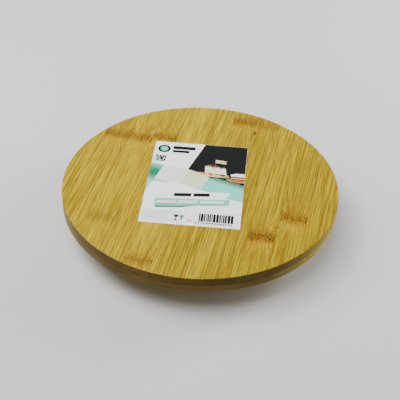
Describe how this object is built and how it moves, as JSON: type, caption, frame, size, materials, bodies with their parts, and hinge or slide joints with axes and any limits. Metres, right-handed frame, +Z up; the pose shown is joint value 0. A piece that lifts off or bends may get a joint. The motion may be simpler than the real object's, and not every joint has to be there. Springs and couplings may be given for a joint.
{
  "type": "lazy susan turntable",
  "caption": "Round laminated bamboo serving board that turns on a small round base through a flat steel ball bearing, with a paper label on top.",
  "frame": {"origin": "centre of the turntable on the surface that its feet stand on, on the axis of rotation", "axes": "+Z up along the axis of rotation; +Y along the board's bamboo strips, towards the top of the label; +X across the strips, to the label's right"},
  "size_m": [0.25, 0.25, 0.0371],
  "materials": {
    "bamboo_face": "satin lacquer over long-grained bamboo strips",
    "bamboo_under": "satin lacquer over long-grained bamboo strips",
    "bamboo_base": "satin lacquer over long-grained bamboo strips",
    "label_paper": null,
    "pressed_steel": "bright zinc-plated sheet, lightly grained",
    "cage_nylon": "natural moulded nylon",
    "ball_steel": "polished, lightly greased",
    "screw_steel": "zinc-plated",
    "foot_rubber": "matt moulded rubber"
  },
  "bodies": {
    "base": {"base_strip_01": "bamboo_base", "base_strip_02": "bamboo_base", "base_strip_03": "bamboo_base", "base_strip_04": "bamboo_base", "base_strip_05": "bamboo_base", "base_strip_06": "bamboo_base", "base_strip_07": "bamboo_base", "bearing_lower_plate": "pressed_steel", "foot_back": "foot_rubber", "foot_front": "foot_rubber", "foot_left": "foot_rubber", "foot_right": "foot_rubber", "foot_screws": "screw_steel", "lower_screws": "screw_steel"},
    "board": {"face_strip_01": "bamboo_face", "face_strip_02": "bamboo_face", "face_strip_03": "bamboo_face", "face_strip_04": "bamboo_face", "face_strip_05": "bamboo_face", "face_strip_06": "bamboo_face", "face_strip_07": "bamboo_face", "face_strip_08": "bamboo_face", "face_strip_09": "bamboo_face", "face_strip_10": "bamboo_face", "face_strip_11": "bamboo_face", "under_strip_01": "bamboo_under", "under_strip_02": "bamboo_under", "under_strip_03": "bamboo_under", "under_strip_04": "bamboo_under", "under_strip_05": "bamboo_under", "under_strip_06": "bamboo_under", "under_strip_07": "bamboo_under", "under_strip_08": "bamboo_under", "under_strip_09": "bamboo_under", "under_strip_10": "bamboo_under", "under_strip_11": "bamboo_under", "label": "label_paper", "bearing_upper_plate": "pressed_steel", "upper_screws": "screw_steel"},
    "ball_ring": {"ball_cage": "cage_nylon", "bearing_balls": "ball_steel"}
  },
  "joints": [
    {"name": "turntable_spin", "type": "hinge", "parent": "base", "child": "board", "pos_m": [0, 0, 0.018], "axis": [0, 0, 1], "continuous": true},
    {"name": "ball_ring_spin", "type": "hinge", "parent": "base", "child": "ball_ring", "pos_m": [0, 0, 0.018], "axis": [0, 0, 1], "continuous": true}
  ],
  "couplings": [
    {"joint": "ball_ring_spin", "follows": "turntable_spin", "ratio": 0.5}
  ]
}
